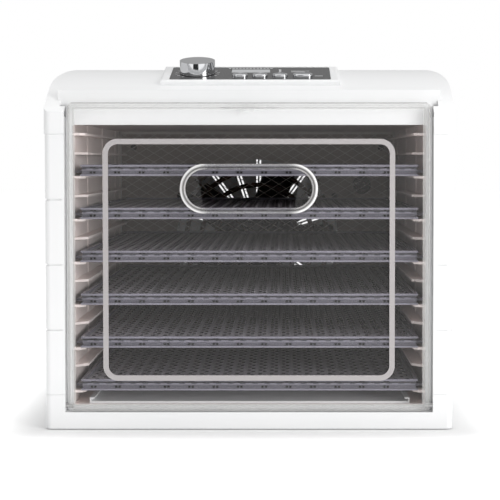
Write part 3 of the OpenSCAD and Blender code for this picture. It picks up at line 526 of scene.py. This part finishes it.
def painted_light_bands(tree, shader, distance, tones):
    """Painted light for a clear moulding seen through its thick edge: bands along it, each (distance in mm, tone,
    opacity), paint the bright and dark lines that the bent light would make.
    """
    span = tones[-1][0] - tones[0][0]
    where = put(tree, "MapRange", {"Value": distance, "From Min": tones[0][0] * MM, "From Max": tones[-1][0] * MM})
    shade, veil = (put(tree, "ValToRGB", {"Fac": where.outputs["Result"]}) for _ in range(2))
    for ramp, pick in ((shade, lambda t: linear(t[1])), (veil, lambda t: (t[2], t[2], t[2], 1.0))):
        while len(ramp.color_ramp.elements) < len(tones):
            ramp.color_ramp.elements.new(1.0)
        for element, tone in zip(ramp.color_ramp.elements, tones):
            element.position = (tone[0] - tones[0][0]) / span
            element.color = pick(tone)
    set_inputs(tree, shader, {"Base Color": shade.outputs["Color"], "Alpha": veil.outputs["Color"],
        "Roughness": 0.08, "IOR": 1.58})


low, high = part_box("door_panel")
door_x, z_low, z_high = high[0], low[2], high[2]
grip_low, grip_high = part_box("grip_ring")
grip_z = (grip_low[2] + grip_high[2]) / 2

# Painted light lines on the rim: a painted dark line where its wall stands and another where it meets the pane, with
# painted bright bands between
thick, tree, shader, place = start_material("clear polycarbonate rim")
at = put(tree, "SeparateXYZ", {"Vector": place}).outputs
from_side = math_node(tree, "SUBTRACT", door_x, math_node(tree, "ABSOLUTE", at["X"]))
from_top, from_bottom = math_node(tree, "SUBTRACT", z_high, at["Z"]), math_node(tree, "SUBTRACT", at["Z"], z_low)
from_ends = math_node(tree, "MINIMUM", from_top, from_bottom)
painted_light_bands(tree, shader, math_node(tree, "MINIMUM", from_side, from_ends), [
    (0.0, "A2A2A0", 0.6), (0.6, "BEBEBC", 0.42), (1.2, "E2E2E0", 0.2), (3.8, "DCDCDA", 0.16), (4.5, "B2B2B0", 0.4),
    (5.1, "B8B8B6", 0.34), (5.7, "F2F2F0", 0.2), (8.0, "F2F2F0", 0.05)])

# Painted highlights and shade on the ring's round edge: bright outside, a dark line, a second bright line inside;
# along the straight runs it is painted dim
ring_painted_highlights, tree, shader, place = start_material("clear polycarbonate in the thick")
at = put(tree, "SeparateXYZ", {"Vector": place}).outputs
bead = 5 * MM
ring_r = (grip_high[2] - grip_low[2]) / 2 - bead / 2
run = (grip_high[0] - grip_low[0]) / 2 - ring_r - bead / 2
from_middle = math_node(tree, "ABSOLUTE", at["X"])
over = math_node(tree, "MAXIMUM", math_node(tree, "SUBTRACT", from_middle, run))
rise = math_node(tree, "SUBTRACT", at["Z"], grip_z)
radial = put(tree, "CombineXYZ", {"X": over, "Y": rise}).outputs["Vector"]
reach = put(tree, "VectorMath", {0: radial}, operation="LENGTH").outputs["Value"]
painted_light_bands(tree, shader, math_node(tree, "SUBTRACT", reach, ring_r), [
    (-2.5, "6E6C6B", 0.7), (-1.9, "D9D7D6", 0.75), (-1.3, "B4B2B1", 0.7), (-0.7, "5A5857", 0.8), (0.0, "807E7D", 0.7),
    (0.7, "D4D2D1", 0.85), (1.4, "FFFFFF", 0.97), (2.1, "F4F2F1", 0.95), (2.5, "8A8887", 0.7)])
# Painted dimming: towards the straight runs the bands fade into a dark grey
painted_dimming = put(tree, "MapRange", {"Value": from_middle, "From Min": run - 6 * MM, "From Max": run + 8 * MM,
    "To Min": 0.38, "To Max": 1.0}, interpolation_type="SMOOTHSTEP").outputs["Result"]
painted_bright_bands = shader.inputs["Base Color"].links[0].from_socket
veil = shader.inputs["Alpha"].links[0].from_socket
mixed = put(tree, "MixRGB", {"Fac": painted_dimming, "Color1": linear("4A494C"), "Color2": painted_bright_bands})
set_inputs(tree, shader, {"Base Color": mixed.outputs["Color"], "Alpha": math_node(tree, "MULTIPLY", veil, painted_dimming)})
dress(frame["nodes"]["grip_ring"], ring_painted_highlights, 40)

# A soft pale grey that hides most of what is behind it
frosted, tree, shader, place = start_material("frosted border")
etch = put(tree, "TexNoise", {"Vector": place, "Scale": 1500.0, "Detail": 2.0})
relief = put(tree, "Bump", {"Height": etch.outputs["Fac"], "Strength": 0.3, "Distance": 0.0002})
tone = put(tree, "MixRGB", {"Fac": etch.outputs["Fac"], "Color1": linear("B0ABAB"), "Color2": linear("BCB7B7")})
set_inputs(tree, shader, {"Base Color": tone.outputs["Color"], "Roughness": 0.7, "Alpha": 0.85,
    "Normal": relief.outputs["Normal"]})


def round_outline(x0, z0, x1, z1, r, steps=12):
    """A rectangle with quarter-circle corners, as (x, z) points in order."""
    turn = np.radians(np.linspace(0, 90, steps))
    corners = [(x1 - r, z1 - r, 0), (x0 + r, z1 - r, 90), (x0 + r, z0 + r, 180), (x1 - r, z0 + r, 270)]
    return np.vstack([
        np.stack([cx + r * np.cos(turn + np.radians(a)), cz + r * np.sin(turn + np.radians(a))], 1)
        for cx, cz, a in corners])


def ring_plate(outer, inner, y0, y1):
    """A flat ring between two outlines with the same number of points, from y0 to y1."""
    n = len(outer)
    loops = [(outer, y0), (inner, y0), (inner, y1), (outer, y1)]
    vertices = np.vstack([np.stack([p[:, 0], np.full(n, y), p[:, 1]], 1) for p, y in loops])
    k = np.arange(n)
    after = (k + 1) % n
    faces = [np.stack([a * n + k, a * n + after, b * n + after, b * n + k], 1)
        for a, b in ((0, 1), (1, 2), (2, 3), (3, 0))]
    return vertices, np.vstack(faces)[:, ::-1]


def stadium(length, height, centre_z, n, margin=0.0):
    """A slot outline with round ends, as n points in order from the right-hand middle."""
    r = height / 2 + margin
    turn = np.linspace(0, 2 * np.pi, n, endpoint=False)
    run = (length - height) / 2
    return np.stack([np.sign(np.cos(turn).round(9)) * run + r * np.cos(turn), centre_z + r * np.sin(turn)], 1)


def moulded_ring(profile, x1, z0, z1, r, steps=12):
    """A closed section carried round a rounded rectangle: each section point is (inset from the edge, depth)."""
    loops = [round_outline(-x1 + inset, z0 + inset, x1 - inset, z1 - inset, max(r - inset, 0.2 * MM), steps)
        for inset, _ in profile]
    n, m = len(loops[0]), len(profile)
    vertices = np.vstack([np.stack([p[:, 0], np.full(n, y), p[:, 1]], 1) for p, (_, y) in zip(loops, profile)])
    k, after = np.arange(n), (np.arange(n) + 1) % n
    faces = [np.stack([a * n + k, a * n + after, (a + 1) % m * n + after, (a + 1) % m * n + k], 1)
        for a in range(m)]
    return vertices, np.vstack(faces)


# The door's hinge is the first joint, and the pane's face is 5 mm in front of its pins
door_y = frame["joints"][0]["pos_m"][1] - 5 * MM
pane_t, rim_d = 2.5 * MM, 8 * MM

# The pane, with the hole for the ring
rim_w = 6 * MM
outer = round_outline(-door_x + rim_w, z_low + rim_w, door_x - rim_w, z_high - rim_w, 1 * MM, 16)
hole = stadium(grip_high[0] - grip_low[0], grip_high[2] - grip_low[2], grip_z, 256, 0.05 * MM)
# Each point of the outline is paired with the hole's point in the same direction
turn = np.arctan2(outer[:, 1] - grip_z, outer[:, 0])
hole_turn = np.arctan2(hole[:, 1] - grip_z, hole[:, 0])
inner = hole[[int(np.argmin(np.abs(np.angle(np.exp(1j * (hole_turn - a)))))) for a in turn]]
pane = mesh_object("door_pane", *ring_plate(outer, inner, door_y, door_y + pane_t))
dress(pane, clear)

# The rim: rounded front corner, wall behind it, and a small ledge where it thickens towards the pane
corner, wall = 0.9 * MM, 2.5 * MM
section = [(0, corner), (0.3 * corner, 0.3 * corner), (corner, 0), (rim_w, 0), (rim_w, pane_t), (3.2 * MM, pane_t),
    (wall, pane_t + 0.7 * MM), (wall, rim_d - 0.5 * MM), (2 * MM, rim_d), (0.5 * MM, rim_d), (0, rim_d - 0.5 * MM)]
section = [(inset, door_y + depth) for inset, depth in section]
rim = mesh_object("door_rim", *moulded_ring(section, door_x, z_low, z_high, 4 * MM))
dress(rim, thick)

# A crescent lip for the fingertips, in the middle of the upper edge
u, v = np.meshgrid(np.linspace(-1, 1, 41), np.linspace(0, np.pi, 9), indexing="ij")
swell = (1 - u**2) + 0.02
lip_v = np.stack([
    u * 26 * MM,
    door_y - 1.4 * MM * swell * np.sin(v) + 0.05 * MM,
    z_high - 4.6 * MM + 2.6 * MM * swell * np.cos(v)], -1)
i, j = (a.ravel() for a in np.meshgrid(np.arange(40), np.arange(8), indexing="ij"))
lip_f = np.stack([i * 9 + j, i * 9 + j + 1, (i + 1) * 9 + j + 1, (i + 1) * 9 + j], 1)
lip = mesh_object("door_finger_lip", lip_v.reshape(-1, 3), lip_f)
# The lip takes the rim's painted light lines too
dress(lip, thick, 60)
for piece in (pane, rim, lip):
    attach(piece, "door")
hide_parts("door_panel")

x_out, border_w = door_x - 29.5 * MM, 4.5 * MM
band_low, band_high = z_low + 25.8 * MM, z_high - 30.5 * MM
band = mesh_object("door_frosted_border", *ring_plate(
    round_outline(-x_out, band_low, x_out, band_high, 12.5 * MM),
    round_outline(-x_out + border_w, band_low + border_w, x_out - border_w, band_high - border_w, 8 * MM),
    door_y - 0.6 * MM, door_y - 0.1 * MM))
dress(band, frosted)
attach(band, "door")

# ---- Controls ----
# A dark glossy overlay on the tilted island, a chromed knob, four chromed push buttons and a
# smoked display window.

# Near black, and lightened by the sky that its gloss reflects
overlay, tree, shader, place = start_material("dark grey gloss overlay")
film = put(tree, "TexNoise", {"Vector": place, "Scale": 40.0, "Detail": 2.0})
tone = put(tree, "MixRGB", {"Fac": film.outputs["Fac"], "Color1": linear("242425"), "Color2": linear("2C2C2D")})
set_inputs(tree, shader, {"Base Color": tone.outputs["Color"], "Roughness": 0.22, "Specular IOR Level": 0.36})
dress(frame["nodes"]["fascia"], overlay)

# A pale grey sheet with a clean gloss: the display behind it is off
smoked, tree, shader, place = start_material("smoked acrylic window")
film = put(tree, "TexNoise", {"Vector": place, "Scale": 30.0, "Detail": 1.0})
tone = put(tree, "MixRGB", {"Fac": film.outputs["Fac"], "Color1": linear("B2B4B6"), "Color2": linear("BEC0C2")})
set_inputs(tree, shader, {"Base Color": tone.outputs["Color"], "Roughness": 0.1})
dress(frame["nodes"]["display_window"], smoked)

# A mirror, broken only by the faint unevenness of the moulding
chrome, tree, shader, place = start_material("chromium-plated ABS")
cast = put(tree, "TexNoise", {"Vector": place, "Scale": 80.0, "Detail": 2.0})
gloss = put(tree, "MapRange", {"Value": cast.outputs["Fac"], "To Min": 0.04, "To Max": 0.1})
set_inputs(tree, shader, {"Base Color": linear("C9CACC"), "Metallic": 1.0, "Roughness": gloss.outputs["Result"]})
dress(frame["nodes"]["knob"], chrome, 30)

# The control panel's own frame: across, up the slope and out of the face
tilt = np.radians(16)
across = np.array([1.0, 0, 0])
upward = np.array([0, np.cos(tilt), np.sin(tilt)])
outward = np.array([0, -np.sin(tilt), np.cos(tilt)])
fascia_low, fascia_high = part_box("fascia")
middle = np.array([0.0, (fascia_low[1] + fascia_high[1]) / 2, (fascia_low[2] + fascia_high[2]) / 2])
panel = middle + 0.6 * MM * outward


def on_panel(u, v, w):
    """Places on the panel, from distances across, up the slope and out of its face."""
    u, v, w = (np.asarray(a, float)[..., None] for a in np.broadcast_arrays(u, v, w))
    return panel + u * across + v * upward + w * outward


def domed_cap(u, v, half_w, half_h, steps=64, rings=14):
    """A stadium cap: a straight skirt, a round shoulder, then a shallow dish.

    Height(r) runs from r = 1 at the rim to 0 in the middle; inside the shoulder it is
    top - dip * (1 - (r / shoulder)^2)."""
    skirt, top, dip, shoulder = 1.7 * MM, 2.5 * MM, 0.9 * MM, 0.84
    turn = np.linspace(0, 2 * np.pi, steps, endpoint=False)
    run = half_w - half_h
    side = np.sign(np.cos(turn).round(9)) * run
    bend = np.linspace(0, np.pi / 2, 6)[1:]
    dish = np.linspace(shoulder, 0.0, rings)[1:-1]
    r = np.concatenate([[1.0, 1.0], np.cos(bend) * (1 - shoulder) + shoulder, dish])
    h = np.concatenate([[0.0, skirt], skirt + (top - skirt) * np.sin(bend), top - dip * (1 - (dish / shoulder) ** 2)])
    x = side[None] * r[:, None] + half_h * r[:, None] * np.cos(turn)
    y = half_h * r[:, None] * np.sin(turn)
    places = on_panel(u + x, v + y, np.repeat(h[:, None], steps, 1)).reshape(-1, 3)
    places = np.vstack([places, on_panel(u, v, 1.6 * MM), on_panel(u, v, 0.0)])
    k, after = np.arange(steps), (np.arange(steps) + 1) % steps
    faces = [tuple(f) for i in range(len(r) - 1) for f in
        np.stack([i * steps + k, i * steps + after, (i + 1) * steps + after, (i + 1) * steps + k], 1)]
    last, tip, base = (len(r) - 1) * steps, len(places) - 2, len(places) - 1
    faces += [(last + a, last + b, tip) for a, b in zip(k, after)] + [(b, a, base) for a, b in zip(k, after)]
    return places, faces


for name, u, v, half_w, half_h in (
        ("up", -9, -13, 6.6, 4.4), ("down", 8.5, -13, 6.6, 4.4), ("mode", 26, -13, 6.6, 4.4),
        ("power", 46, -12, 8.6, 4.6)):
    cap = mesh_object(f"button_{name}_cap", *domed_cap(u * MM, v * MM, half_w * MM, half_h * MM))
    dress(cap, chrome, 50)
    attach(cap, f"key_{name}")
    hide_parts(f"button_{name}")

# Plain printed marks: a scale round the knob, a line of blocks over the display and a bar by each button
# Flat pale grey, a little worn
ink, tree, shader, place = start_material("pale grey printing ink")
worn = put(tree, "TexNoise", {"Vector": place, "Scale": 600.0})
tone = put(tree, "MixRGB", {"Fac": worn.outputs["Fac"], "Color1": linear("C4C5C6"), "Color2": linear("D2D3D4")})
set_inputs(tree, shader, {"Base Color": tone.outputs["Color"], "Roughness": 0.5})


def prints(marks):
    """Thin printed blocks on the panel, each (across, up the slope, half width, half height, turn in degrees)."""
    marks = np.asarray(marks, float)
    turn = np.radians(marks[:, 4])
    lie = np.cos(turn)[:, None] * across + np.sin(turn)[:, None] * upward
    stand = -np.sin(turn)[:, None] * across + np.cos(turn)[:, None] * upward
    foot = on_panel(marks[:, 0] * MM, marks[:, 1] * MM, 0.01 * MM)
    return bars(foot, foot + 0.05 * MM * outward, lie * marks[:, 2:3] * MM, stand * marks[:, 3:4] * MM)


angles, knob_u, scale_r = np.arange(-50, 231, 20), -47, 18.6
marks = [(knob_u + scale_r * np.cos(np.radians(a)), scale_r * np.sin(np.radians(a)), 1.2, 0.35, a) for a in angles]
marks += [(x, 20.5, 1.1, 1.0, 0) for x in np.arange(-19, 20, 3.1)]
marks += [(u, -5.5, 3.2, 0.5, 0) for u in (-9, 8.5, 26)] + [(46, -4.5, 2.4, 0.5, 0), (60, -11, 3.6, 0.6, 0)]
marks += [(26, 6 + 3 * i, 1.1, 0.9, 0) for i in range(4)] + [(44, 9, 8, 0.6, 0), (42, 5.5, 6, 0.6, 0)]
printing = mesh_object("fascia_prints", *prints(marks))
dress(printing, ink)
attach(printing, "housing")
